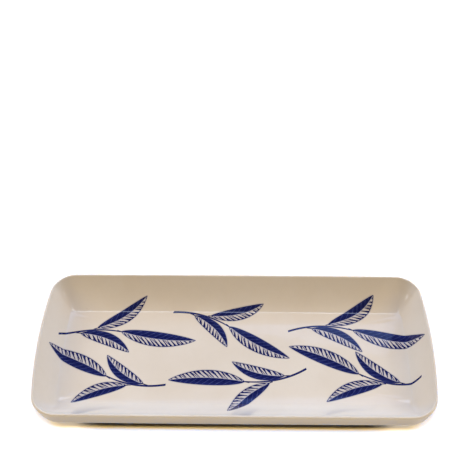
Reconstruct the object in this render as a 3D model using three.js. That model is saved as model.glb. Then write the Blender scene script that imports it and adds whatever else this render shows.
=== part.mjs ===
// Rectangular appetizer platter: a pressed stoneware dish with a flat well, splayed long walls, ends that
// sweep up in a cove, an upright rim with a rounded lip, and a bare foot ring. The clay body carries a fired
// glaze coat over everything above the foot, and a second patch of glaze inside the foot ring.
// Millimetres, +Z up, +X along the length, origin at the centre of the plane that the foot stands on.
import * as THREE from 'three';

// Overall size, measured over the glaze
const LENGTH = 360;
const WIDTH = 163;
const HEIGHT = 30.5;

// Well
const FLOOR_THICKNESS = 5.5;
const SIDE_RUN = 29;           // rim to floor edge, seen from above, along the long sides
const SIDE_HOLLOW = 1.4;       // how far a long wall sags below a straight slope
const HOLLOW_PLACE = 0.35;     // where it sags most, as a share of the wall from the floor up
const CREASE_RADIUS = 2.5;     // where a long wall meets the floor
const END_COVE = 39;           // radius of the sweep from the floor to the lip at the short ends
const FLOOR_CORNER = 2;        // plan radius of the floor's corners

// Rim
const LIP_RADIUS = 1.5;
const RIM_FACE = 11;           // height of the upright outer face along the long sides, lip included
const RIM_CORNER = 24;         // plan radius of the rim's corners
const FACE_CORNER = 27;        // the same where the outer face turns under
const END_BOW = 3.2;           // how far the rim of a short end swells outwards at its middle
const FLOOR_END_BOW = 1;       // the same at the floor's edge and at the foot
const SIDE_BOW = 0.4;          // how far a long side swells outwards at its middle

// Underside and foot
const UNDER_RADIUS = 3;        // where the outer face turns under
const FOOT_HEIGHT = 2;
const FOOT_WIDTH = 5;
const FOOT_ROUND = 0.6;        // softened edges of the foot's sole
const FOOT_SPREAD = 3;         // how far the foot's outer edge lies outside the floor's edge
const FOOT_CORNER = 20;        // plan radius of the foot's corners

// Glaze
const GLAZE = 0.5;             // thickness of the fired coat
const GLAZE_GAP = 0.3;         // clearance between the clay and the coat

// Facets
const END_STEPS = 3;           // along half an end, a corner and half a side
const CORNER_STEPS = 10;
const SIDE_STEPS = 5;
const LIP_STEPS = 7;
const WALL_STEPS = 7;
const UNDER_STEPS = 4;
const FILLET_STEPS = 3;

const QUADRANTS = [[1, 1], [-1, 1], [-1, -1], [1, -1]];
const FLOOR_LEVEL = FOOT_HEIGHT + FLOOR_THICKNESS;
const DEPTH = HEIGHT - FLOOR_LEVEL;

// Rim to floor edge at the short ends: the cove touches the floor below and the lip's circle above.
const END_RUN = LIP_RADIUS + Math.sqrt(DEPTH * (2 * (END_COVE + LIP_RADIUS) - DEPTH));
const SIDE_FOOT_INSET = SIDE_RUN - FOOT_SPREAD;
const END_FOOT_INSET = END_RUN - FOOT_SPREAD;

// A section point: x is how far in from the rim it lies, y is its height.
const at = (inset, height) => new THREE.Vector2(inset, height);
const LIP = at(LIP_RADIUS, HEIGHT - LIP_RADIUS);

function arc(centre, radius, from, to, steps) {
  const points = [];
  for (let i = 0; i <= steps; i += 1) {
    const angle = THREE.MathUtils.lerp(from, to, i / steps);
    points.push(at(Math.cos(angle), Math.sin(angle)).multiplyScalar(radius).add(centre));
  }
  return points;
}

// Arc that rounds the corner between a leg from `before` and a leg to `after`.
function fillet(before, corner, after, radius) {
  const legIn = before.clone().sub(corner).normalize();
  const legOut = after.clone().sub(corner).normalize();
  const half = Math.acos(legIn.dot(legOut)) / 2;
  const centre = legIn.clone().add(legOut).setLength(radius / Math.sin(half)).add(corner);
  const start = legIn.clone().multiplyScalar(radius / Math.tan(half)).add(corner).sub(centre);
  const turn = Math.sign(legIn.cross(start)) * (Math.PI - 2 * half);
  return arc(centre, radius, start.angle(), start.angle() + turn, FILLET_STEPS);
}

// Direction from one section point to another, as an angle.
const heading = (from, to) => Math.atan2(to.y - from.y, to.x - from.x);

// Glazed section of a long side: the floor's edge, the hollow wall, the lip, and the outer face and
// underside down to the foot. The wall is a quadratic curve whose top is tangent to the lip.
function sideSection() {
  const crease = at(SIDE_RUN, FLOOR_LEVEL);
  const slope = LIP.clone().sub(crease);
  const sag = at(-slope.y, slope.x).setLength(2 * SIDE_HOLLOW);
  const bend = crease.clone().lerp(LIP, HOLLOW_PLACE).add(sag);
  const lipStart = heading(LIP, bend) + Math.acos(LIP_RADIUS / LIP.distanceTo(bend));
  const lip = arc(LIP, LIP_RADIUS, lipStart, Math.PI, LIP_STEPS);
  const floor = at(SIDE_RUN + FLOOR_CORNER / 2, FLOOR_LEVEL);
  const creaseArc = fillet(floor, crease, bend, CREASE_RADIUS);
  const rising = new THREE.QuadraticBezierCurve(creaseArc.at(-1), bend, lip[0]);
  const wall = [...creaseArc, ...rising.getPoints(WALL_STEPS).slice(1, -1)];
  const footRoot = at(SIDE_FOOT_INSET, FOOT_HEIGHT);
  const turn = fillet(at(0, HEIGHT), at(0, HEIGHT - RIM_FACE), footRoot, UNDER_RADIUS);
  const underside = new THREE.LineCurve(turn.at(-1), footRoot).getPoints(UNDER_STEPS);
  return { floor, wall, lip, under: [...turn, ...underside.slice(1)] };
}

// Glazed section of a short end, with a point for each point of the side's section. The cove rises in step
// with the side's wall, and the underside lies one floor thickness outside it.
function endSection(side) {
  const centre = at(END_RUN, FLOOR_LEVEL + END_COVE);
  const lip = arc(LIP, LIP_RADIUS, heading(LIP, centre), Math.PI, LIP_STEPS);
  const floor = at(END_RUN + FLOOR_CORNER / 2, FLOOR_LEVEL);
  const pace = (lip[0].y - FLOOR_LEVEL) / (side.lip[0].y - FLOOR_LEVEL);
  const wall = side.wall.map((point) => {
    const rise = Math.max(point.y - FLOOR_LEVEL, 0) * pace;
    return at(END_RUN - Math.sqrt(rise * (2 * END_COVE - rise)), FLOOR_LEVEL + rise);
  });
  const outside = END_COVE + FLOOR_THICKNESS;
  const edge = at(0, centre.y - Math.sqrt(outside ** 2 - END_RUN ** 2));
  const footRoot = at(END_FOOT_INSET, centre.y - Math.sqrt(outside ** 2 - FOOT_SPREAD ** 2));
  const ahead = at(centre.y - edge.y, edge.x - centre.x).add(edge);
  const turn = fillet(at(0, HEIGHT), edge, ahead, UNDER_RADIUS);
  const underside = arc(centre, outside, heading(centre, edge), heading(centre, footRoot), UNDER_STEPS);
  return { floor, wall, lip, under: [...turn, ...underside.slice(1)] };
}

// Bare section of the foot ring: its outer edge, its flat sole, its inner edge and its ceiling.
function footSection(footInset) {
  const outer = footInset + GLAZE + GLAZE_GAP;
  const inner = footInset + FOOT_WIDTH;
  const ceiling = FOOT_HEIGHT + GLAZE + GLAZE_GAP;
  const outerEdge = fillet(at(outer, HEIGHT), at(outer, 0), at(inner, 0), FOOT_ROUND);
  const innerEdge = fillet(at(outer, 0), at(inner, 0), at(inner, ceiling), FOOT_ROUND);
  return [...outerEdge, ...innerEdge, at(inner, ceiling)];
}

// Glaze inside the foot ring, from its upper to its lower edge.
function baseGlazeSection(footInset) {
  const edge = footInset + FOOT_WIDTH + GLAZE_GAP;
  return [at(edge, FOOT_HEIGHT + GLAZE), at(edge, FOOT_HEIGHT)];
}

// Plan outline through one section point of the ends and one of the sides: bowed ends and sides
// joined by round corners, all tangent arcs. The height passes from the end's to the side's.
function outline(end, side, corner, endBow) {
  const halfLength = LENGTH / 2 - end.x;
  const halfWidth = WIDTH / 2 - side.x;
  const centreX = halfLength - corner - endBow;
  const centreY = halfWidth - corner - SIDE_BOW;
  const endTilt = 2 * Math.atan(endBow / centreY);
  const sideTilt = 2 * Math.atan(SIDE_BOW / centreX);
  const endRadius = corner + centreY / Math.sin(endTilt);
  const sideRadius = corner + centreX / Math.sin(sideTilt);
  const upright = Math.PI / 2;
  const sweep = (x, y, radius, from, to, steps) => Array.from({ length: steps }, (_, i) => {
    const angle = THREE.MathUtils.lerp(from, to, (i + 1) / steps);
    const height = THREE.MathUtils.lerp(end.y, side.y, Math.sin(angle) ** 2);
    return new THREE.Vector3(x + radius * Math.cos(angle), y + radius * Math.sin(angle), height);
  });
  const quarter = [
    new THREE.Vector3(halfLength, 0, end.y),
    ...sweep(halfLength - endRadius, 0, endRadius, 0, endTilt, END_STEPS),
    ...sweep(centreX, centreY, corner, endTilt, upright - sideTilt, CORNER_STEPS),
    ...sweep(0, halfWidth - sideRadius, sideRadius, upright - sideTilt, upright, SIDE_STEPS),
  ];
  return QUADRANTS.flatMap(([signX, signY]) => {
    const run = signX === signY ? quarter : quarter.toReversed();
    return run.slice(0, -1).map((p) => new THREE.Vector3(signX * p.x, signY * p.y, p.z));
  });
}

// Outlines through matching points of an end section and a side section, between the rim and `reach` inside
// it. The bow of the ends changes evenly with the inset. The corner radius changes with the square of the way
// left to go, so that the sharp valley between a side and an end opens out towards the rim.
function outlines(ends, sides, outerCorner, innerCorner, reach) {
  return sides.map((side, i) => {
    const depth = side.x / reach;
    const corner = THREE.MathUtils.lerp(innerCorner, outerCorner, (1 - depth) ** 2);
    const bow = THREE.MathUtils.lerp(END_BOW, FLOOR_END_BOW, depth);
    return outline(ends[i], side, corner, bow);
  });
}

// The same outlines sunk by `depth` along the normals of the surface that they span.
function sunk(stack, depth) {
  return stack.map((ring, i) => ring.map((point, j) => {
    const above = stack[Math.max(i - 1, 0)][j];
    const below = stack[Math.min(i + 1, stack.length - 1)][j];
    const along = ring[(j + 1) % ring.length].clone().sub(ring.at(j - 1));
    const normal = below.clone().sub(above).cross(along).normalize();
    return point.clone().addScaledVector(normal, -depth);
  }));
}

// Closed solid through a stack of outlines, with a flat cap on the first and on the last.
function loft(stack) {
  const count = stack[0].length;
  const final = (stack.length - 1) * count;
  const upperCentre = stack.length * count;
  const lowerCentre = upperCentre + 1;
  const caps = [stack[0], stack.at(-1)].map((ring) => new THREE.Vector3(0, 0, ring[0].z));
  const index = [];
  for (let j = 0; j < count; j += 1) {
    const k = (j + 1) % count;
    index.push(upperCentre, j, k);
    index.push(lowerCentre, final + k, final + j);
    for (let near = 0; near < final; near += count) {
      const far = near + count;
      index.push(near + j, far + j, far + k);
      index.push(near + j, far + k, near + k);
    }
  }
  const geometry = new THREE.BufferGeometry().setFromPoints([...stack.flat(), ...caps]);
  geometry.setIndex(index);
  geometry.computeVertexNormals();
  return geometry;
}

function piece(name, stack, material) {
  const mesh = new THREE.Mesh(loft(stack), material);
  mesh.name = name;
  return mesh;
}

const side = sideSection();
const end = endSection(side);
const [endWell, sideWell] = [end, side].map(({ floor, wall, lip }) => [floor, ...wall, ...lip]);
const glazed = [
  ...outlines(endWell, sideWell, RIM_CORNER, FLOOR_CORNER, SIDE_RUN),
  ...outlines(end.under, side.under, FACE_CORNER, FOOT_CORNER, SIDE_FOOT_INSET),
];
const [foot, base] = [footSection, baseGlazeSection].map((section) => (
  outlines(section(END_FOOT_INSET), section(SIDE_FOOT_INSET), FACE_CORNER, FOOT_CORNER, SIDE_FOOT_INSET)
));

const clay = new THREE.MeshStandardMaterial({ color: 0xc8ad8a, roughness: 0.9, metalness: 0 });
const ivoryGlaze = new THREE.MeshStandardMaterial({ color: 0xe3dace, roughness: 0.15, metalness: 0 });

const platter = new THREE.Group();
platter.add(piece('stoneware_body', [...sunk(glazed, GLAZE + GLAZE_GAP), ...foot], clay));
platter.add(piece('glaze_coat', [...glazed, ...sunk(glazed, GLAZE).reverse()], ivoryGlaze));
platter.add(piece('base_glaze', base, ivoryGlaze));

export default platter;
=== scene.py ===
"""Rectangular stoneware platter: ivory glaze over a blue leaf print, bare foot ring, pale studio floor.

Sizes of the platter and of the print, and the camera's place, are in millimetres and become metres where a
mesh or the camera is made. Lights and the floor are in metres. The section of a wall is a row of points
(inset from the rim, height), and a piece is a stack of closed plan outlines through such points.
"""

import math

import bpy
import numpy as np
from mathutils import Matrix, Vector


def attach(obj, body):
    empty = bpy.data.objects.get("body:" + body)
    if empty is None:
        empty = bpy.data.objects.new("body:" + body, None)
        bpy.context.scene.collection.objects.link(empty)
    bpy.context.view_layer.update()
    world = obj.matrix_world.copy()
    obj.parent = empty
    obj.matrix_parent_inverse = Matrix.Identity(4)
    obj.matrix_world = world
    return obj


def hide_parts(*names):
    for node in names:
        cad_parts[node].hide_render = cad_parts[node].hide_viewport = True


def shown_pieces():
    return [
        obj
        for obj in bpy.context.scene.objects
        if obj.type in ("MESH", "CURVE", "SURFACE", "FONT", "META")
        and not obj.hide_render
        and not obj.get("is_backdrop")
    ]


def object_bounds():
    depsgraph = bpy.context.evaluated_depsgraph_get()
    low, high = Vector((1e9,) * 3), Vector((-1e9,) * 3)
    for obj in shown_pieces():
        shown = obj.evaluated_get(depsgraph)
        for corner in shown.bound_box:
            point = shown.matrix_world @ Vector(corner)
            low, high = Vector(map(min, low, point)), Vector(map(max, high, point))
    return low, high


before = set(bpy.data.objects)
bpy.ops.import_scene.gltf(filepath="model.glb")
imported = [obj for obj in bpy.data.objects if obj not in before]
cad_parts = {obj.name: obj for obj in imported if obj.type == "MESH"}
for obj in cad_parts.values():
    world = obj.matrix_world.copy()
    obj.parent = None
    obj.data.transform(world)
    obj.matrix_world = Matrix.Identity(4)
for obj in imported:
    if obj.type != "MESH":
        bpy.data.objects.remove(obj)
cad_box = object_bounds()

MM = 0.001

# Overall size, taken from the frame
LENGTH, WIDTH, HEIGHT = (np.array(cad_box[1]) - np.array(cad_box[0])) / MM

# Well: inset and radius of the crease, hollow of the wall, and rise and width of the floor's margin
FLOOR_THICKNESS = 5.5
FLOOR_CORNER = 5.0
HOLLOW_PLACE = 0.35
SIDE_RUN = 29.0
SIDE_HOLLOW = 1.4
SIDE_CREASE_RADIUS = 4.5
SIDE_RISE = 0.7
SIDE_SPAN = 14.0
END_CREASE = 20.0
END_HOLLOW = 0.6
END_CREASE_RADIUS = 2.5
END_RISE = 2.0
END_SPAN = 16.0

# Rim
LIP_RADIUS = 1.5
RIM_FACE = 11.0
RIM_CORNER = 24.0
FACE_CORNER = 27.0
END_BOW = 3.2
FLOOR_END_BOW = 1.0
SIDE_BOW = 0.4

# Underside and foot
END_COVE = 39.0
UNDER_RADIUS = 5.0
FOOT_HEIGHT = 2.0
FOOT_WIDTH = 5.0
FOOT_ROUND = 0.6
FOOT_CORNER = 20.0
FOOT_SPREAD = 3.0

# Levels and insets that follow. The ends' underside goes with a cove that touches the floor and the lip
FLOOR_LEVEL = FOOT_HEIGHT + FLOOR_THICKNESS
DEPTH = HEIGHT - FLOOR_LEVEL
END_RUN = LIP_RADIUS + math.sqrt(DEPTH * (2 * (END_COVE + LIP_RADIUS) - DEPTH))
SIDE_FOOT_INSET = SIDE_RUN - FOOT_SPREAD
END_FOOT_INSET = END_RUN - FOOT_SPREAD
LIP = np.array([LIP_RADIUS, HEIGHT - LIP_RADIUS])

# Glaze: thickness, gap to the clay and round edge under the base
GLAZE = 0.5
GLAZE_GAP = 0.3
BASE_ROUND = 0.7 * GLAZE

# Share of the clay's colour that shows through thin glaze at the lip, and the share of the lip that it
# spreads over; the share of the same clay colour painted underneath as shade, darker under the rim; and the
# rows over which that painted shade sets in above the underside, and over which the glaze pools at the
# crease
LIP_THIN = 0.04
LIP_SPREAD = 0.35
# Painted shade: clay colour laid over the turn and the underside
UNDER_PAINTED_SHADE = 0.75
UNDER_LEAD = 3
POOL_ROWS = 3.5

# Grid of the surfaces
END_STEPS = 22
CORNER_STEPS = 30
SIDE_STEPS = 56
FLOOR_STEPS = 56
CREASE_STEPS = 8
WALL_STEPS = 22
LIP_STEPS = 14
TURN_STEPS = 8
UNDER_STEPS = 10
FOOT_STEPS = 5
BACK_STRIDE = 3
SHARP_DEGREES = 40

# Leaf print: where each twig starts in the developed well, its heading in degrees and its scale
TWIGS = (
    (-168, 20, 9, 0.98),
    (-60, 52, -16, 0.92),
    (50, 30, 3, 1.00),
    (172, -29, 171, 0.96),
    (66, -13, 196, 0.95),
    (-62, -32, 172, 0.90),
)
STEM_LENGTH = 58.0
STEM_BOW = 5.0
STEM_HALF = 0.85
# A leaf: its place along the stem, its turn in degrees, its length, half its width and its bow
TWIG_LEAVES = (
    (1.00, 2, 74, 9.0, -4),
    (0.62, 35, 58, 7.6, -5),
    (0.34, -40, 54, 7.4, 5),
)
PETIOLE = 3.5
LEAF_FULLNESS = 0.85
LEAF_SKEW = 0.9
# Veins and strokes of a leaf: half the distance between them, their slant and how far they wander
VEIN = 3.1
STROKE = 2.1
VEIN_SLANT = 1.25
STROKE_TURN = 0.35
WANDER = 2.2
# Lines of the print: the distances in millimetres between which each goes from none to full
LEAF_INSIDE = (0.0, 0.35)
LEAF_EDGE = (1.0, 0.55)
VEIN_LINE = (0.62, 0.28)
STROKE_LINE = (0.2, -0.2)
MIDRIB_LINE = (0.55, 0.25)
PETIOLE_LINE = (0.65, 0.4)
STEM_LINE = (0.12, -0.12)
BLEED_LINE = (-1.4, 0.0)
# Densities of the ink, and what is taken off them, from 0 for none to 1 for solid
PALE_STROKE = 0.9
PALE_VEIN = 0.92
DARK_VEIN = 0.62
DARK_EDGE_LOSS = 0.22
GRAIN_LOSS = 0.22
MIDRIB_LOSS = 0.8
EDGE_INK = 0.95
STEM_CORE = 0.6
BLEED_INK = 0.05
INK_LEAST = 0.47
INK_SPREAD = 0.8

# Colours, as red, green and blue of linear light, and the strength of the room's own light
GLAZE_WARM = (0.690, 0.605, 0.520, 1)
GLAZE_PALE = (0.715, 0.635, 0.555, 1)
GLAZE_POOLED = (0.700, 0.640, 0.570, 1)
GLAZE_MOTTLE = (0.600, 0.520, 0.430, 1)
# Clay colour: shows through thin glaze at the lip, and is painted underneath as shade
CLAY_SHOWING_AND_SHADE = (0.360, 0.260, 0.160, 1)
IRON_SPECK = (0.300, 0.200, 0.120, 1)
CLAY_DARK = (0.470, 0.330, 0.200, 1)
CLAY_PALE = (0.600, 0.450, 0.300, 1)
GROG_DARK = (0.160, 0.090, 0.050, 1)
GROG_PALE = (0.720, 0.600, 0.460, 1)
FLOOR_GREY = (0.450, 0.450, 0.450, 1)
ROOM_TINT = (1.0, 0.8, 0.6, 1)
ROOM_GLOW = 0.02
# Share of the light that solid ink lets through
INK_SOLID = np.array([0.002, 0.0045, 0.090])

# Shares of the marks in the colours
POOL_SHARE = 0.35
SPECK_SHARE = 0.35
MOTTLE_SHARE = 0.06
GROG_SHARE = 0.6

# Roughness, gloss and relief of the glaze and the clay, the depth of the relief in metres
GLAZE_ROUGH = 0.03
GLAZE_ROUGH_SPREAD = 0.03
THIN_ROUGH = 0.2
GLAZE_IOR = 1.5
GLAZE_BUMP = 0.12
GLAZE_RELIEF = 0.0006
CLAY_ROUGH = 0.8
CLAY_ROUGH_SPREAD = 0.15
CLAY_BUMP = 0.5
CLAY_RELIEF = 0.0002

# Scales of the patterns, in waves or cells to a metre
INK_GRAIN = 420.0
INK_WANDER = 90.0
CLOUDS = 22.0
MOTTLE = 240.0
SPECKS = 160.0
RIPPLE = 70.0
CLAY_CLOUDS = 60.0
GRIT = 900.0
GROG = 700.0


def arc(centre, radius, start, stop, steps):
    """Points at centre + radius (cos a, sin a), the angle a going evenly from start to stop."""
    angle = np.linspace(start, stop, steps + 1)
    return np.array(centre) + radius * np.stack([np.cos(angle), np.sin(angle)], -1)


def fillet(before, corner, after, radius, steps):
    """Arc of the given radius that is tangent to the leg from before and to the leg to after."""
    before, corner, after = np.array([before, corner, after], float)
    leg_in = (before - corner) / np.linalg.norm(before - corner)
    leg_out = (after - corner) / np.linalg.norm(after - corner)
    half = math.acos(leg_in @ leg_out) / 2
    middle = (leg_in + leg_out) / np.linalg.norm(leg_in + leg_out)
    centre = corner + middle * radius / math.sin(half)
    start = corner + leg_in * radius / math.tan(half) - centre
    turn = np.sign(leg_in[0] * start[1] - leg_in[1] * start[0]) * (math.pi - 2 * half)
    first = math.atan2(start[1], start[0])
    return arc(centre, radius, first, first + turn, steps)


def bearing(start, stop):
    """Direction from one section point to another, as an angle."""
    return math.atan2(stop[1] - start[1], stop[0] - start[0])


def well_section(run, hollow, rise, span, radius):
    """Section of the well's glaze from the floor's edge over the crease and up to the lip's outer side.

    The wall is the quadratic curve (1-t)^2 A + 2t(1-t) B + t^2 C from the crease's fillet A to the lip's
    circle C, with B on the tangents of both, so that it sags below a straight slope, most near the floor.
    """
    crease = np.array([run, FLOOR_LEVEL + rise])
    slope = LIP - crease
    sag = np.array([-slope[1], slope[0]]) * 2 * hollow / np.linalg.norm(slope)
    bend = crease + slope * HOLLOW_PLACE + sag
    lip_start = bearing(LIP, bend) + math.acos(LIP_RADIUS / np.linalg.norm(bend - LIP))
    over_lip = arc(LIP, LIP_RADIUS, lip_start, math.pi, LIP_STEPS)
    floor_edge = crease + np.array([1, -2 * rise / span]) * FLOOR_CORNER / 2
    crease_arc = fillet(floor_edge, crease, bend, radius, CREASE_STEPS)
    t = np.linspace(0, 1, WALL_STEPS + 1)[1:-1, None]
    wall = (1 - t) ** 2 * crease_arc[-1] + 2 * t * (1 - t) * bend + t**2 * over_lip[0]
    return np.concatenate([floor_edge[None], crease_arc, wall, over_lip])


def side_section():
    """Section of a long side's glaze in two runs: up the well and over the lip, and down to the foot."""
    foot_root = np.array([SIDE_FOOT_INSET, FOOT_HEIGHT])
    turn = fillet((0, HEIGHT), (0, HEIGHT - RIM_FACE), foot_root, UNDER_RADIUS, TURN_STEPS)
    t = np.linspace(0, 1, UNDER_STEPS + 1)[1:, None]
    underside = turn[-1] + t * (foot_root - turn[-1])
    well = well_section(SIDE_RUN, SIDE_HOLLOW, SIDE_RISE, SIDE_SPAN, SIDE_CREASE_RADIUS)
    return well, np.concatenate([turn, underside])


def end_section():
    """Section of a short end's glaze in the same two runs. Its underside is a circle round the cove."""
    centre = np.array([END_RUN, FLOOR_LEVEL + END_COVE])
    outside = END_COVE + FLOOR_THICKNESS
    edge = np.array([0, centre[1] - math.sqrt(outside**2 - END_RUN**2)])
    foot_root = np.array([END_FOOT_INSET, centre[1] - math.sqrt(outside**2 - FOOT_SPREAD**2)])
    ahead = edge + np.array([centre[1] - edge[1], edge[0] - centre[0]])
    turn = fillet((0, HEIGHT), edge, ahead, UNDER_RADIUS, TURN_STEPS)
    underside = arc(centre, outside, bearing(centre, edge), bearing(centre, foot_root), UNDER_STEPS)
    well = well_section(END_CREASE, END_HOLLOW, END_RISE, END_SPAN, END_CREASE_RADIUS)
    return well, np.concatenate([turn, underside[1:]])


def foot_section(foot_inset):
    """Section of the bare foot: rounded outer edge, flat sole, rounded inner edge, up to the ceiling."""
    outer = foot_inset + GLAZE + GLAZE_GAP
    inner = foot_inset + FOOT_WIDTH
    ceiling = FOOT_HEIGHT + GLAZE + GLAZE_GAP
    outer_edge = fillet((outer, HEIGHT), (outer, 0), (inner, 0), FOOT_ROUND, FOOT_STEPS)
    inner_edge = fillet((outer, 0), (inner, 0), (inner, ceiling), FOOT_ROUND, FOOT_STEPS)
    return np.concatenate([outer_edge, inner_edge, [[inner, ceiling]]])


def base_glaze_section(foot_inset):
    """Section of the glaze inside the foot: its upper edge, then a rounded lower edge."""
    edge = foot_inset + FOOT_WIDTH + GLAZE_GAP
    upper = FOOT_HEIGHT + GLAZE
    inside = edge + FOOT_CORNER / 2
    lower_edge = fillet((edge, upper), (edge, FOOT_HEIGHT), (inside, FOOT_HEIGHT), BASE_ROUND, FOOT_STEPS)
    return np.concatenate([[[edge, upper]], lower_edge, [[inside, FOOT_HEIGHT]]])


def plan_rings(ends, sides, corner, end_bow):
    """Closed plan outlines, one for each row of the end section and of the side section.

    An outline is a rectangle with bowed ends and sides and round corners, all tangent arcs. A point whose
    outward normal makes the angle a with +X lies at centre + radius (cos a, sin a), and its height goes
    from the end section's to the side section's as sin squared of a.
    """
    half_length = LENGTH / 2 - ends[:, 0]
    half_width = WIDTH / 2 - sides[:, 0]
    centre_x = half_length - corner - end_bow
    centre_y = half_width - corner - SIDE_BOW
    end_tilt = 2 * np.arctan(end_bow / centre_y)
    side_tilt = 2 * np.arctan(SIDE_BOW / centre_x)
    end_radius = corner + centre_y / np.sin(end_tilt)
    side_radius = corner + centre_x / np.sin(side_tilt)
    zero = np.zeros_like(corner)
    upright = zero + math.pi / 2
    arcs = (
        (half_length - end_radius, zero, end_radius, zero, end_tilt, END_STEPS),
        (centre_x, centre_y, corner, end_tilt, upright - side_tilt, CORNER_STEPS),
        (zero, half_width - side_radius, side_radius, upright - side_tilt, upright, SIDE_STEPS),
    )
    quarter = [np.stack([half_length, zero, ends[:, 1]], -1)[:, None]]
    for x, y, radius, start, stop, steps in arcs:
        angle = start[:, None] + (stop - start)[:, None] * np.arange(1, steps + 1) / steps
        height = ends[:, 1:] + (sides[:, 1:] - ends[:, 1:]) * np.sin(angle) ** 2
        across = y[:, None] + radius[:, None] * np.sin(angle)
        quarter.append(np.stack([x[:, None] + radius[:, None] * np.cos(angle), across, height], -1))
    quarter = np.concatenate(quarter, 1)
    quadrants = []
    for sign_x, sign_y in ((1, 1), (-1, 1), (-1, -1), (1, -1)):
        run = quarter if sign_x == sign_y else quarter[:, ::-1]
        quadrants.append(run[:, :-1] * np.array([sign_x, sign_y, 1]))
    return np.concatenate(quadrants, 1)


def wall_rings(ends, sides, outer_corner, inner_corner, reach, insets=None):
    """Outlines between the rim and `reach` inside it, where the inner corner radius and end bow hold.

    The bow changes evenly with the inset, and the corner radius with the square of the way left to go, so
    that a sharp valley opens out towards the rim.
    """
    depth = (sides[:, 0] if insets is None else insets) / reach
    corner = inner_corner + (outer_corner - inner_corner) * (1 - depth) ** 2
    end_bow = END_BOW + (FLOOR_END_BOW - END_BOW) * depth
    return plan_rings(ends, sides, corner, end_bow)


def floor_rings(ring, steps):
    """Copies of the floor's edge scaled about its centre from almost nothing up to just below full size.

    The floor is flat but for a margin, where it rises with the square of the way into the margin up to the
    height of its edge. The margin's share goes from the ends' to the sides' as that height does.
    """
    share = np.arange(1, steps)[:, None] / steps
    end_margin = END_SPAN / (LENGTH / 2 - END_CREASE)
    side_margin = SIDE_SPAN / (WIDTH / 2 - SIDE_RUN)
    sideways = (ring[:, 2] - ring[0, 2]) / (np.min(ring[:, 2]) - ring[0, 2])
    margin = end_margin + (side_margin - end_margin) * sideways
    rise = (np.maximum(share - 1 + margin, 0) / margin) ** 2
    height = FLOOR_LEVEL + rise * (ring[:, 2] - FLOOR_LEVEL)
    return np.stack([share * ring[:, 0], share * ring[:, 1], height], -1)


def sunk(stack, depth):
    """The stack moved by `depth` against its normals, the cross product of its two grid directions."""
    down = np.concatenate([stack[1:2] - stack[:1], stack[2:] - stack[:-2], stack[-1:] - stack[-2:-1]])
    along = np.roll(stack, -1, 1) - np.roll(stack, 1, 1)
    normal = np.cross(down, along)
    return stack - depth * normal / np.linalg.norm(normal, axis=-1, keepdims=True)


def developed(section):
    """Section with its insets replaced by lengths along the surface, measured from its first point."""
    step = np.linalg.norm(np.diff(section, axis=0), axis=-1)
    climb = np.concatenate([[0], np.cumsum(step)])
    return np.stack([section[0, 0] - climb, section[:, 1]], -1)


def surface_faces(rows, count):
    """Faces of a closed stack: quads between neighbouring rings, and a fan of triangles at each end."""
    ring = np.arange(count)
    following = np.roll(ring, -1)
    start = np.arange(rows - 1)[:, None] * count
    below = start + count
    quads = np.stack([start + ring, below + ring, below + following, start + following], -1)
    last = (rows - 1) * count
    first_pole = np.full(count, rows * count)
    upper = np.stack([first_pole, ring, following], -1)
    lower = np.stack([first_pole + 1, last + following, last + ring], -1)
    return quads.reshape(-1, 4), np.concatenate([upper, lower])


def closed_piece(name, stack, node, material):
    """Object on a stack of outlines, closed by a pole at each end, that replaces a solid of the frame."""
    rows, count = stack.shape[:2]
    poles = np.array([[0, 0, stack[0, 0, 2]], [0, 0, stack[-1, 0, 2]]])
    points = np.concatenate([stack.reshape(-1, 3), poles]) * MM
    quads, fans = surface_faces(rows, count)
    corners = np.concatenate([quads.ravel(), fans.ravel()])
    sizes = np.concatenate([np.full(len(quads), 4), np.full(len(fans), 3)])
    mesh = bpy.data.meshes.new(name)
    mesh.vertices.add(len(points))
    mesh.vertices.foreach_set("co", points.astype(np.float32).ravel())
    mesh.loops.add(len(corners))
    mesh.loops.foreach_set("vertex_index", corners.astype(np.int32))
    mesh.polygons.add(len(sizes))
    mesh.polygons.foreach_set("loop_start", (np.cumsum(sizes) - sizes).astype(np.int32))
    mesh.update(calc_edges=True)
    mesh.validate()
    mesh.shade_smooth()
    mesh.set_sharp_from_angle(angle=math.radians(SHARP_DEGREES))
    mesh.materials.append(material)
    piece = bpy.data.objects.new(name, mesh)
    bpy.context.scene.collection.objects.link(piece)
    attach(piece, "root")
    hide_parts(node)
    return piece


def twig_curves():
    """Stems and leaves of the print as rows (base x, base y, heading, length, half width, bow).

    A stem is the parabola bow 4t(1-t) over its chord, and a leaf starts on it a petiole away.
    """
    stems = []
    leaves = []
    for x, y, heading, scale in TWIGS:
        heading = math.radians(heading)
        ahead = np.array([math.cos(heading), math.sin(heading)])
        left = np.array([-ahead[1], ahead[0]])
        stems.append([x, y, heading, STEM_LENGTH * scale, STEM_HALF, STEM_BOW * scale])
        for place, turn, length, half, bow in TWIG_LEAVES:
            bowed = STEM_BOW * 4 * place * (1 - place)
            base = np.array([x, y]) + scale * (STEM_LENGTH * place * ahead + bowed * left)
            slope = math.atan2(STEM_BOW * 4 * (1 - 2 * place), STEM_LENGTH)
            aim = heading + slope + math.radians(turn)
            base = base + PETIOLE * scale * np.array([math.cos(aim), math.sin(aim)])
            leaves.append([*base, aim, length * scale, half * scale, bow * scale])
    return np.array(stems), np.array(leaves)


def along_and_across(points, curve):
    """Place of points on a bowed curve: share of its length, and distance to its left less the bow."""
    x, y, heading, length, _, bow = np.moveaxis(curve, -1, 0)
    from_base = points - np.stack([x, y], -1)
    along = (from_base[..., 0] * np.cos(heading) + from_base[..., 1] * np.sin(heading)) / length
    across = from_base[..., 1] * np.cos(heading) - from_base[..., 0] * np.sin(heading)
    return along, across - bow * 4 * along * (1 - along)


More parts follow.
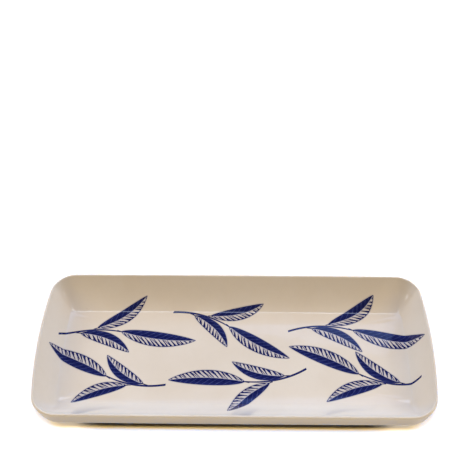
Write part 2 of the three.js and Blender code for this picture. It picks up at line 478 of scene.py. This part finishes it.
def nearest_curve(centres, curves, leaf_shaped):
    """Number of the curve whose drawn outline lies closest to each face centre."""
    along, across = along_and_across(centres[:, None], curves[None])
    kept = np.clip(along, 0, 1)
    swell = (4 * kept * (1 - kept)) ** LEAF_FULLNESS if leaf_shaped else 1
    beside = np.abs(across) - curves[:, 4] * swell
    beyond = np.abs(along - kept) * curves[:, 3]
    return np.argmin(np.hypot(np.maximum(beside, 0), beyond) + np.minimum(beside, 0), 1)


def print_coordinates(mesh, flat):
    """Gives each face corner its place on the nearest leaf and stem, from the developed well `flat`.

    UV map leaf_place holds (skewed share of the length, share of the half width), attribute leaf_size holds
    (length, half width, share that is not skewed), and UV map stem_place holds (share of the length, mm).
    """
    vertex = np.zeros(len(mesh.loops), np.int32)
    mesh.loops.foreach_get("vertex_index", vertex)
    start = np.zeros(len(mesh.polygons), np.int32)
    mesh.polygons.foreach_get("loop_start", start)
    total = np.diff(np.append(start, len(vertex)))
    owner = np.repeat(np.arange(len(start)), total)
    centres = np.add.reduceat(flat[vertex], start) / total[:, None]
    stems, leaves = twig_curves()
    leaf = leaves[nearest_curve(centres, leaves, True)[owner]]
    stem = stems[nearest_curve(centres, stems, False)[owner]]
    along, across = along_and_across(flat[vertex], leaf)
    skewed = np.sign(along) * np.abs(along) ** LEAF_SKEW
    place = np.stack([skewed, across / leaf[:, 4]], -1)
    mesh.uv_layers.new(name="leaf_place").data.foreach_set("uv", place.astype(np.float32).ravel())
    size = np.stack([leaf[:, 3], leaf[:, 4], along], -1)
    attribute = mesh.attributes.new("leaf_size", "FLOAT_VECTOR", "CORNER")
    attribute.data.foreach_set("vector", size.astype(np.float32).ravel())
    place = np.stack(along_and_across(flat[vertex], stem), -1)
    mesh.uv_layers.new(name="stem_place").data.foreach_set("uv", place.astype(np.float32).ravel())


class Graph:
    """Shorthand for a node tree. A value is a number, a colour or another node's output socket."""

    def __init__(self, tree):
        self.tree = tree

    def node(self, kind, values=(), **settings):
        """New node with its settings made and its inputs set or linked, by name or by number."""
        made = self.tree.nodes.new(kind)
        for key, setting in settings.items():
            setattr(made, key, setting)
        for key, value in dict(values).items():
            if isinstance(value, bpy.types.NodeSocket):
                self.tree.links.new(value, made.inputs[key])
            else:
                made.inputs[key].default_value = value
        return made

    def math(self, operation, *values, clamp=False):
        """Output of a Math node."""
        made = self.node("ShaderNodeMath", enumerate(values), operation=operation, use_clamp=clamp)
        return made.outputs[0]

    def step(self, value, low, high):
        """0 below low, 1 above high, smooth between. With low above high it falls instead."""
        values = {"Value": value, "From Min": low, "From Max": high}
        made = self.node("ShaderNodeMapRange", values, interpolation_type="SMOOTHSTEP")
        return made.outputs["Result"]

    def blend(self, share, first, second):
        """Number between first and second, by share."""
        made = self.node("ShaderNodeMix", {0: share, 2: first, 3: second}, data_type="FLOAT")
        return made.outputs[0]

    def tint(self, share, first, second, mode="MIX"):
        """Colour between first and second, by share."""
        values = {0: share, 6: first, 7: second}
        made = self.node("ShaderNodeMix", values, data_type="RGBA", blend_type=mode)
        return made.outputs[2]

    def noise(self, place, scale, detail=2.0, roughness=0.5):
        """Grey noise from 0 to 1, with `scale` waves to a metre."""
        values = {"Vector": place, "Scale": scale, "Detail": detail, "Roughness": roughness}
        return self.node("ShaderNodeTexNoise", values).outputs["Fac"]

    def ramp(self, value, stops):
        """Colour of a ramp with the given (place, colour) stops."""
        made = self.node("ShaderNodeValToRGB", {0: value})
        elements = made.color_ramp.elements
        while len(elements) < len(stops):
            elements.new(0.5)
        for element, (place, colour) in zip(elements, stops):
            element.position = place
            element.color = (*colour, 1)
        return made.outputs[0]


def new_group(name, inputs, outputs):
    """Shader node group with the named sockets. Returns it with its graph and its two end nodes."""
    tree = bpy.data.node_groups.new(name, "ShaderNodeTree")
    for socket, kind in inputs:
        tree.interface.new_socket(socket, in_out="INPUT", socket_type=kind)
    for socket, kind in outputs:
        tree.interface.new_socket(socket, in_out="OUTPUT", socket_type=kind)
    graph = Graph(tree)
    return graph, graph.node("NodeGroupInput").outputs, graph.node("NodeGroupOutput").inputs


def leaf_print_group():
    """Ink of the engraved leaf print, from 0 for none to 1 for solid.

    A leaf's edge lies where the half width times (4s(1-s))^fullness meets the distance across. One half is
    nearly solid with pale veins, the other is hatched along the veins with a stroke width that follows its
    tone, and a pale midrib parts them.
    """
    vector = "NodeSocketVector"
    inputs = [("Leaf", vector), ("Size", vector), ("Stem", vector), ("Position", vector)]
    g, given, made = new_group("leaf_print", inputs, [("Ink", "NodeSocketFloat")])
    leaf = g.node("ShaderNodeSeparateXYZ", {0: given["Leaf"]}).outputs
    size = g.node("ShaderNodeSeparateXYZ", {0: given["Size"]}).outputs
    stem = g.node("ShaderNodeSeparateXYZ", {0: given["Stem"]}).outputs
    length, half = size[0], size[1]

    # Outline and the distance inside it, in millimetres
    away = g.math("SUBTRACT", 1.0, leaf[0])
    swell = g.math("MAXIMUM", g.math("MULTIPLY", g.math("MULTIPLY", leaf[0], away), 4.0), 0.0)
    swell = g.math("POWER", swell, LEAF_FULLNESS)
    across = g.math("MULTIPLY", g.math("ABSOLUTE", leaf[1]), half)
    inside = g.math("SUBTRACT", g.math("MULTIPLY", swell, half), across)
    body = g.step(inside, *LEAF_INSIDE)
    edge = g.math("MULTIPLY", body, g.step(inside, *LEAF_EDGE))

    # Veins and hatching, slanted towards the tip
    grain = g.noise(given["Position"], INK_GRAIN, 3.0, 0.6)
    wander = g.noise(given["Position"], INK_WANDER, 1.0)
    slant = g.math("SUBTRACT", g.math("MULTIPLY", size[2], length), g.math("MULTIPLY", across, VEIN_SLANT))
    slant = g.math("ADD", slant, g.math("MULTIPLY", wander, WANDER))
    vein = g.step(g.math("PINGPONG", slant, VEIN), *VEIN_LINE)
    stroke = g.math("PINGPONG", g.math("ADD", slant, g.math("MULTIPLY", across, STROKE_TURN)), STROKE)
    reach = g.math("DIVIDE", across, g.math("MAXIMUM", g.math("MULTIPLY", swell, half), 0.5))
    tone = g.math("MULTIPLY", g.math("POWER", reach, 2.0), 0.5)
    tone = g.math("ADD", tone, g.math("MULTIPLY", grain, 0.5))
    hatch = g.step(g.math("SUBTRACT", stroke, g.math("MULTIPLY", tone, STROKE)), *STROKE_LINE)

    # Pale half and dark half
    pale = g.math("MAXIMUM", g.math("MULTIPLY", hatch, PALE_STROKE), g.math("MULTIPLY", vein, PALE_VEIN))
    shade = g.math("SUBTRACT", 1.0, g.math("MULTIPLY", g.step(reach, 0.35, 1.0), DARK_EDGE_LOSS))
    dark = g.math("MULTIPLY", shade, g.blend(vein, 1.0, DARK_VEIN))
    dark = g.math("SUBTRACT", dark, g.math("MULTIPLY", g.step(grain, 0.56, 0.72), GRAIN_LOSS))
    side = g.step(g.math("MULTIPLY", leaf[1], half), -0.25, 0.25)
    fill = g.blend(side, pale, dark)
    midrib = g.step(across, *MIDRIB_LINE)
    fill = g.math("MULTIPLY", fill, g.math("SUBTRACT", 1.0, g.math("MULTIPLY", midrib, MIDRIB_LOSS)))
    ink = g.math("MAXIMUM", g.math("MULTIPLY", fill, body), g.math("MULTIPLY", edge, EDGE_INK))

    # Petiole and stem
    tail = g.math("MULTIPLY", size[2], length)
    petiole = g.math("MULTIPLY", g.step(tail, -PETIOLE - 0.6, -PETIOLE), g.step(tail, 3.0, 1.5))
    petiole = g.math("MULTIPLY", petiole, g.step(across, *PETIOLE_LINE))
    beside = g.math("ABSOLUTE", stem[1])
    taper = g.math("SUBTRACT", STEM_HALF + 0.3, g.math("MULTIPLY", stem[0], 0.45))
    twig = g.step(g.math("SUBTRACT", beside, taper), *STEM_LINE)
    ends = g.math("MULTIPLY", g.step(stem[0], 0.0, 0.01), g.step(stem[0], 1.06, 1.04))
    twig = g.math("MULTIPLY", twig, ends)
    core = g.step(beside, 0.2, 0.45)
    twig = g.math("MULTIPLY", twig, g.blend(core, STEM_CORE, 1.0))
    ink = g.math("MAXIMUM", ink, g.math("MAXIMUM", petiole, twig))

    # Uneven density, and a faint bleed into the glaze round the leaf
    uneven = g.math("ADD", g.math("MULTIPLY", grain, INK_SPREAD), INK_LEAST)
    ink = g.math("MULTIPLY", ink, uneven)
    bleed = g.math("MULTIPLY", g.step(swell, 0.0, 0.1), BLEED_INK)
    bleed = g.math("MULTIPLY", g.step(inside, *BLEED_LINE), bleed)
    g.tree.links.new(g.math("MAXIMUM", ink, bleed, clamp=True), made["Ink"])
    return g.tree


def glaze_tone_group():
    """Ivory glaze: soft clouds of tone, small iron specks, and a slow ripple as height.

    Thin_and_shade is the share of clay colour: thin glaze at the lip, painted shade underneath. Pool is
    the share of thicker, paler glaze.
    """
    inputs = [("Position", "NodeSocketVector"), ("Thin_and_shade", "NodeSocketFloat"), ("Pool", "NodeSocketFloat")]
    outputs = [("Colour", "NodeSocketColor")]
    outputs += [("Roughness", "NodeSocketFloat"), ("Height", "NodeSocketFloat")]
    g, given, made = new_group("glaze_tone", inputs, outputs)
    place = given["Position"]
    clouds = g.noise(place, CLOUDS, 3.0)
    mottle = g.noise(place, MOTTLE, 2.0)
    colour = g.tint(g.step(clouds, 0.3, 0.7), GLAZE_WARM, GLAZE_PALE)
    # Clay colour where the glaze is thin at the lip, and as painted shade on the turn and underside
    colour = g.tint(given["Thin_and_shade"], colour, CLAY_SHOWING_AND_SHADE)
    colour = g.tint(g.math("MULTIPLY", given["Pool"], POOL_SHARE), colour, GLAZE_POOLED)
    cells = {"Vector": place, "Scale": SPECKS, "Randomness": 1.0}
    spots = g.node("ShaderNodeTexVoronoi", cells, feature="F1")
    chosen = g.step(g.node("ShaderNodeSeparateColor", {0: spots.outputs["Color"]}).outputs[0], 0.94, 0.96)
    speck = g.math("MULTIPLY", g.step(spots.outputs["Distance"], 0.075, 0.035), chosen)
    colour = g.tint(g.math("MULTIPLY", speck, SPECK_SHARE), colour, IRON_SPECK)
    patches = g.math("MULTIPLY", g.step(mottle, 0.35, 0.75), MOTTLE_SHARE)
    colour = g.tint(patches, colour, GLAZE_MOTTLE)
    g.tree.links.new(colour, made["Colour"])
    rough = g.math("ADD", g.math("MULTIPLY", mottle, GLAZE_ROUGH_SPREAD), GLAZE_ROUGH)
    rough = g.math("ADD", rough, g.math("MULTIPLY", given["Thin_and_shade"], THIN_ROUGH))
    g.tree.links.new(rough, made["Roughness"])
    ripple = g.math("MULTIPLY", g.noise(place, RIPPLE, 1.0), 0.8)
    ripple = g.math("ADD", ripple, g.math("MULTIPLY", mottle, 0.06))
    g.tree.links.new(g.math("SUBTRACT", ripple, g.math("MULTIPLY", speck, 0.2)), made["Height"])
    return g.tree


def new_material(name):
    """Material with a Principled shader. Returns it with its graph and the shader."""
    material = bpy.data.materials.new(name)
    material.use_nodes = True
    graph = Graph(material.node_tree)
    return material, graph, material.node_tree.nodes["Principled BSDF"]


def glaze_material(name, tone_group, print_group=None):
    """Glossy ivory glaze, with the blue print under it where a print group is given.

    Ink darkens the glaze as a dye does: each channel falls as a power of the ink's density.
    """
    material, g, shader = new_material(name)
    place = g.node("ShaderNodeTexCoord").outputs["Object"]
    tone = g.node("ShaderNodeGroup", node_tree=tone_group)
    g.tree.links.new(place, tone.inputs["Position"])
    if print_group:
        for socket in ("Thin_and_shade", "Pool"):
            read = g.node("ShaderNodeAttribute", attribute_name=socket.lower())
            g.tree.links.new(read.outputs["Fac"], tone.inputs[socket])
    colour = tone.outputs["Colour"]
    if print_group:
        inked = g.node("ShaderNodeGroup", node_tree=print_group)
        read = g.node("ShaderNodeUVMap", uv_map="leaf_place").outputs[0]
        g.tree.links.new(read, inked.inputs["Leaf"])
        read = g.node("ShaderNodeAttribute", attribute_name="leaf_size").outputs["Vector"]
        g.tree.links.new(read, inked.inputs["Size"])
        read = g.node("ShaderNodeUVMap", uv_map="stem_place").outputs[0]
        g.tree.links.new(read, inked.inputs["Stem"])
        g.tree.links.new(place, inked.inputs["Position"])
        within = g.node("ShaderNodeAttribute", attribute_name="printed").outputs["Fac"]
        ink = g.math("MULTIPLY", inked.outputs["Ink"], within)
        stops = [(share, INK_SOLID**share) for share in (0.0, 0.15, 0.35, 0.6, 1.0)]
        colour = g.tint(1.0, colour, g.ramp(ink, stops), "MULTIPLY")
    g.tree.links.new(colour, shader.inputs["Base Color"])
    g.tree.links.new(tone.outputs["Roughness"], shader.inputs["Roughness"])
    shader.inputs["IOR"].default_value = GLAZE_IOR
    values = {"Height": tone.outputs["Height"], "Strength": GLAZE_BUMP, "Distance": GLAZE_RELIEF}
    g.tree.links.new(g.node("ShaderNodeBump", values).outputs[0], shader.inputs["Normal"])
    return material


def clay_material():
    """Bare fired clay: warm tan clouds, dark and pale grog grains, and a dry gritty surface."""
    material, g, shader = new_material("bare_stoneware")
    place = g.node("ShaderNodeTexCoord").outputs["Object"]
    clouds = g.noise(place, CLAY_CLOUDS, 4.0)
    grit = g.noise(place, GRIT, 3.0, 0.65)
    colour = g.tint(clouds, CLAY_DARK, CLAY_PALE)
    cells = {"Vector": place, "Scale": GROG, "Randomness": 1.0}
    grains = g.node("ShaderNodeTexVoronoi", cells, feature="F1")
    pick = g.node("ShaderNodeSeparateColor", {0: grains.outputs["Color"]}).outputs
    grain = g.step(grains.outputs["Distance"], 0.34, 0.18)
    dark = g.math("MULTIPLY", grain, g.step(pick[0], 0.80, 0.84))
    pale = g.math("MULTIPLY", grain, g.step(pick[1], 0.84, 0.88))
    colour = g.tint(g.math("MULTIPLY", dark, GROG_SHARE), colour, GROG_DARK)
    colour = g.tint(g.math("MULTIPLY", pale, GROG_SHARE), colour, GROG_PALE)
    g.tree.links.new(colour, shader.inputs["Base Color"])
    rough = g.math("ADD", g.math("MULTIPLY", grit, CLAY_ROUGH_SPREAD), CLAY_ROUGH)
    g.tree.links.new(rough, shader.inputs["Roughness"])
    height = g.math("ADD", grit, g.math("MULTIPLY", grain, 0.4))
    values = {"Height": height, "Strength": CLAY_BUMP, "Distance": CLAY_RELIEF}
    g.tree.links.new(g.node("ShaderNodeBump", values).outputs[0], shader.inputs["Normal"])
    return material


def point_attribute(mesh, name, values):
    """Adds a number to every vertex of the mesh."""
    attribute = mesh.attributes.new(name, "FLOAT", "POINT")
    attribute.data.foreach_set("value", values.astype(np.float32).ravel())


tone_group = glaze_tone_group()
printed_glaze = glaze_material("printed_ivory_glaze", tone_group, leaf_print_group())
plain_glaze = glaze_material("plain_ivory_glaze", tone_group)
bare_clay = clay_material()

# Glaze coat: floor rings, crease, wall, lip, outer face and underside, then the same skin sunk to its back
side_well, side_under = side_section()
end_well, end_under = end_section()
well = wall_rings(end_well, side_well, RIM_CORNER, FLOOR_CORNER, SIDE_RUN)
under = wall_rings(end_under, side_under, FACE_CORNER, FOOT_CORNER, SIDE_FOOT_INSET)
skin = np.concatenate([well, under])
floor = floor_rings(skin[0], FLOOR_STEPS)
back = sunk(skin, GLAZE)
kept = np.unique(np.append(np.arange(0, len(back), BACK_STRIDE), len(back) - 1))
below_floor = floor[::BACK_STRIDE] - np.array([0, 0, GLAZE])
coat = closed_piece(
    "glaze_coat_fine",
    np.concatenate([floor, skin, back[kept][::-1], below_floor[::-1]]),
    "glaze_coat",
    printed_glaze,
)

# Print, spread over the floor and up the walls as far as the lip
flat_sections = developed(end_well), developed(side_well)
flat_well = wall_rings(*flat_sections, RIM_CORNER, FLOOR_CORNER, SIDE_RUN, side_well[:, 0])
flat = np.concatenate([floor, flat_well])
count = flat.shape[1]
total = len(coat.data.vertices)
spread = np.zeros((total, 2))
spread[: flat.shape[0] * count] = flat.reshape(-1, 3)[:, :2]
print_coordinates(coat.data, spread)
row_of = np.minimum(np.arange(total) // count, len(floor) + len(skin) + len(kept))
row_of[-2] = 0  # the pole at the middle of the well
first_lip = len(floor) + len(well) - LIP_STEPS - 1
point_attribute(coat.data, "printed", row_of < first_lip)
rows = np.arange(len(floor) + len(skin) + len(kept) + 1)
crest = first_lip + LIP_STEPS * 0.5
thin_and_shade = LIP_THIN * np.exp(-(((rows - crest) / (LIP_STEPS * LIP_SPREAD)) ** 2))
# Painted shade: from a few rows above the turn, the underside gets the clay colour, darker downwards
first_under = len(floor) + len(well)
turning = np.clip((rows - first_under + UNDER_LEAD) / (TURN_STEPS + UNDER_LEAD), 0, 1)
thin_and_shade = np.where(rows < first_under, thin_and_shade, UNDER_PAINTED_SHADE * turning)
pool = np.exp(-(((rows - len(floor) - CREASE_STEPS * 0.5) / POOL_ROWS) ** 2))
point_attribute(coat.data, "thin_and_shade", thin_and_shade[row_of])
point_attribute(coat.data, "pool", pool[row_of])

# Clay body with its bare foot, and the glaze inside the foot
clay_skin = sunk(skin, GLAZE + GLAZE_GAP)
foot_sections = foot_section(END_FOOT_INSET), foot_section(SIDE_FOOT_INSET)
foot = wall_rings(*foot_sections, FACE_CORNER, FOOT_CORNER, SIDE_FOOT_INSET)
closed_piece(
    "stoneware_body_fine",
    np.concatenate([below_floor - np.array([0, 0, GLAZE_GAP]), clay_skin[kept], foot]),
    "stoneware_body",
    bare_clay,
)
base_sections = base_glaze_section(END_FOOT_INSET), base_glaze_section(SIDE_FOOT_INSET)
base = wall_rings(*base_sections, FACE_CORNER, FOOT_CORNER, SIDE_FOOT_INSET)
closed_piece("base_glaze_fine", base, "base_glaze", plain_glaze)

# Pale floor
FLOOR_HALF = 30.0
mesh = bpy.data.meshes.new("pale_floor")
corners = [(x * FLOOR_HALF, y * FLOOR_HALF, 0) for x, y in ((-1, -1), (1, -1), (1, 1), (-1, 1))]
mesh.from_pydata(corners, [], [(0, 1, 2, 3)])
material, _, shader = new_material("pale_floor")
shader.inputs["Base Color"].default_value = FLOOR_GREY
shader.inputs["Roughness"].default_value = 0.9
shader.inputs["Specular IOR Level"].default_value = 0.0
mesh.materials.append(material)
studio_floor = bpy.data.objects.new("pale_floor", mesh)
bpy.context.scene.collection.objects.link(studio_floor)
studio_floor.visible_diffuse = False
studio_floor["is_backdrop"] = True

# Light
scene = bpy.context.scene
scene.view_settings.view_transform = "Standard"
world = bpy.data.worlds.new("studio")
world.use_nodes = True
background = world.node_tree.nodes["Background"]
background.inputs["Color"].default_value = ROOM_TINT
background.inputs["Strength"].default_value = ROOM_GLOW
scene.world = world


def direction(azimuth, elevation):
    """Unit vector towards a direction in degrees. Azimuth 0 is the camera's side."""
    a, e = math.radians(azimuth), math.radians(elevation)
    return Vector((math.sin(a) * math.cos(e), -math.cos(a) * math.cos(e), math.sin(e)))


def lamp_object(name, data, away, receivers):
    """Lamp that shines from the direction `away` on the given objects alone. All objects cast shadows."""
    lamp = bpy.data.objects.new(name, data)
    lamp.rotation_mode = "QUATERNION"
    lamp.rotation_quaternion = away.to_track_quat("Z", "Y")
    scene.collection.objects.link(lamp)
    lit = bpy.data.collections.new(lamp.name + "_receivers")
    for receiver in receivers:
        lit.objects.link(receiver)
    lamp.light_linking.receiver_collection = lit
    return lamp


def platter_light(name, azimuth, elevation, distance, size, power, colour, mirrored=False):
    """Rectangular light on the platter alone, which faces it from a direction.

    The glaze mirrors the light only where that is asked for.
    """
    data = bpy.data.lights.new(name, "AREA")
    data.shape = "RECTANGLE"
    data.size, data.size_y = size
    data.energy = power
    data.color = colour
    away = direction(azimuth, elevation)
    lamp = lamp_object(name, data, away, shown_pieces())
    lamp.location = away * distance
    lamp.visible_glossy = mirrored
    return lamp


def floor_light(name, azimuth, elevation, angle, strength, colour):
    """Even light on the floor alone from a direction, as wide as `angle` degrees."""
    data = bpy.data.lights.new(name, "SUN")
    data.angle = math.radians(angle)
    data.energy = strength
    data.color = colour
    lamp_object(name, data, direction(azimuth, elevation), [studio_floor])


# Lights on the platter: cool windows above and behind it, and for each side a cool window further back,
# a warm soft box and a small window that the valleys of the corners mirror
platter_light("high_window", 168, 46, 1.8, (2.4, 0.36), 4.54, (0.32, 0.50, 1.0), mirrored=True)
platter_light("high_back", 180, 76, 1.6, (1.8, 0.7), 20.3, (0.68, 0.77, 1.0), mirrored=True)
for side in (-1, 1):
    platter_light("back_window", 132 * side, 20, 1.6, (1.0, 0.6), 12.5, (0.36, 0.61, 1.0))
    platter_light("side_box", 90 * side, 35, 1.6, (1.4, 0.8), 11.6, (1.0, 0.70, 0.10))
    platter_light("small_window", 84 * side, 30, 1.6, (0.4, 0.2), 1.2, (0.90, 0.94, 1.0), mirrored=True)

# Cards on the floor in front and behind, which throw back on the outer face what the floor would
CARD_SIZE = (1.4, 0.5)
CARD_LEVEL = 0.001
for place, power, colour in ((-0.39, 6.2, (1.0, 0.94, 0.82)), (0.39, 7.5, (1.0, 0.78, 0.42))):
    card = platter_light("floor_card", 0, -90, CARD_LEVEL, CARD_SIZE, power, colour)
    card.location = (0, place, CARD_LEVEL)
    card.visible_camera = False

# Lights on the floor: low ones at both sides reach under the corners, and of the light from above the
# camera the warm part comes in lower than the cool part, which edges the shadow with amber
for side in (-1, 1):
    floor_light("side_floor_light", 84 * side, 30, 16, 7.4, (1.0, 0.83, 0.62))
    floor_light("warm_floor_light", 20 * side, 63.7, 7, 2.37, (1.0, 0.66, 0.17))
    floor_light("cool_floor_light", 20 * side, 69.3, 7, 3.0, (0.0, 0.35, 1.0))

# Camera, fitted to the rim and to the floor's edge in the photograph
LENS = 74.50
TILT = 0.798
ROLL = 0.0046
TURN = 0.0155
DISTANCE = 997.78
AIM = (0.0, 164.07, FLOOR_LEVEL)
SHIFT = -0.0091
SENSOR = 36.0
camera_data = bpy.data.cameras.new("photo_camera")
camera_data.lens = LENS
camera_data.sensor_width = SENSOR
camera_data.shift_x = SHIFT
camera = bpy.data.objects.new("photo_camera", camera_data)
turn = Matrix.Rotation(TURN, 4, "Z")
backwards = Vector((0, -math.cos(TILT), math.sin(TILT)))
stand = Matrix.Translation((Vector(AIM) + DISTANCE * backwards) * MM)
lean = Matrix.Rotation(math.pi / 2 - TILT, 4, "X") @ Matrix.Rotation(-ROLL, 4, "Z")
camera.matrix_world = turn @ stand @ lean
camera_data.clip_start = 0.01
scene.collection.objects.link(camera)
scene.camera = camera
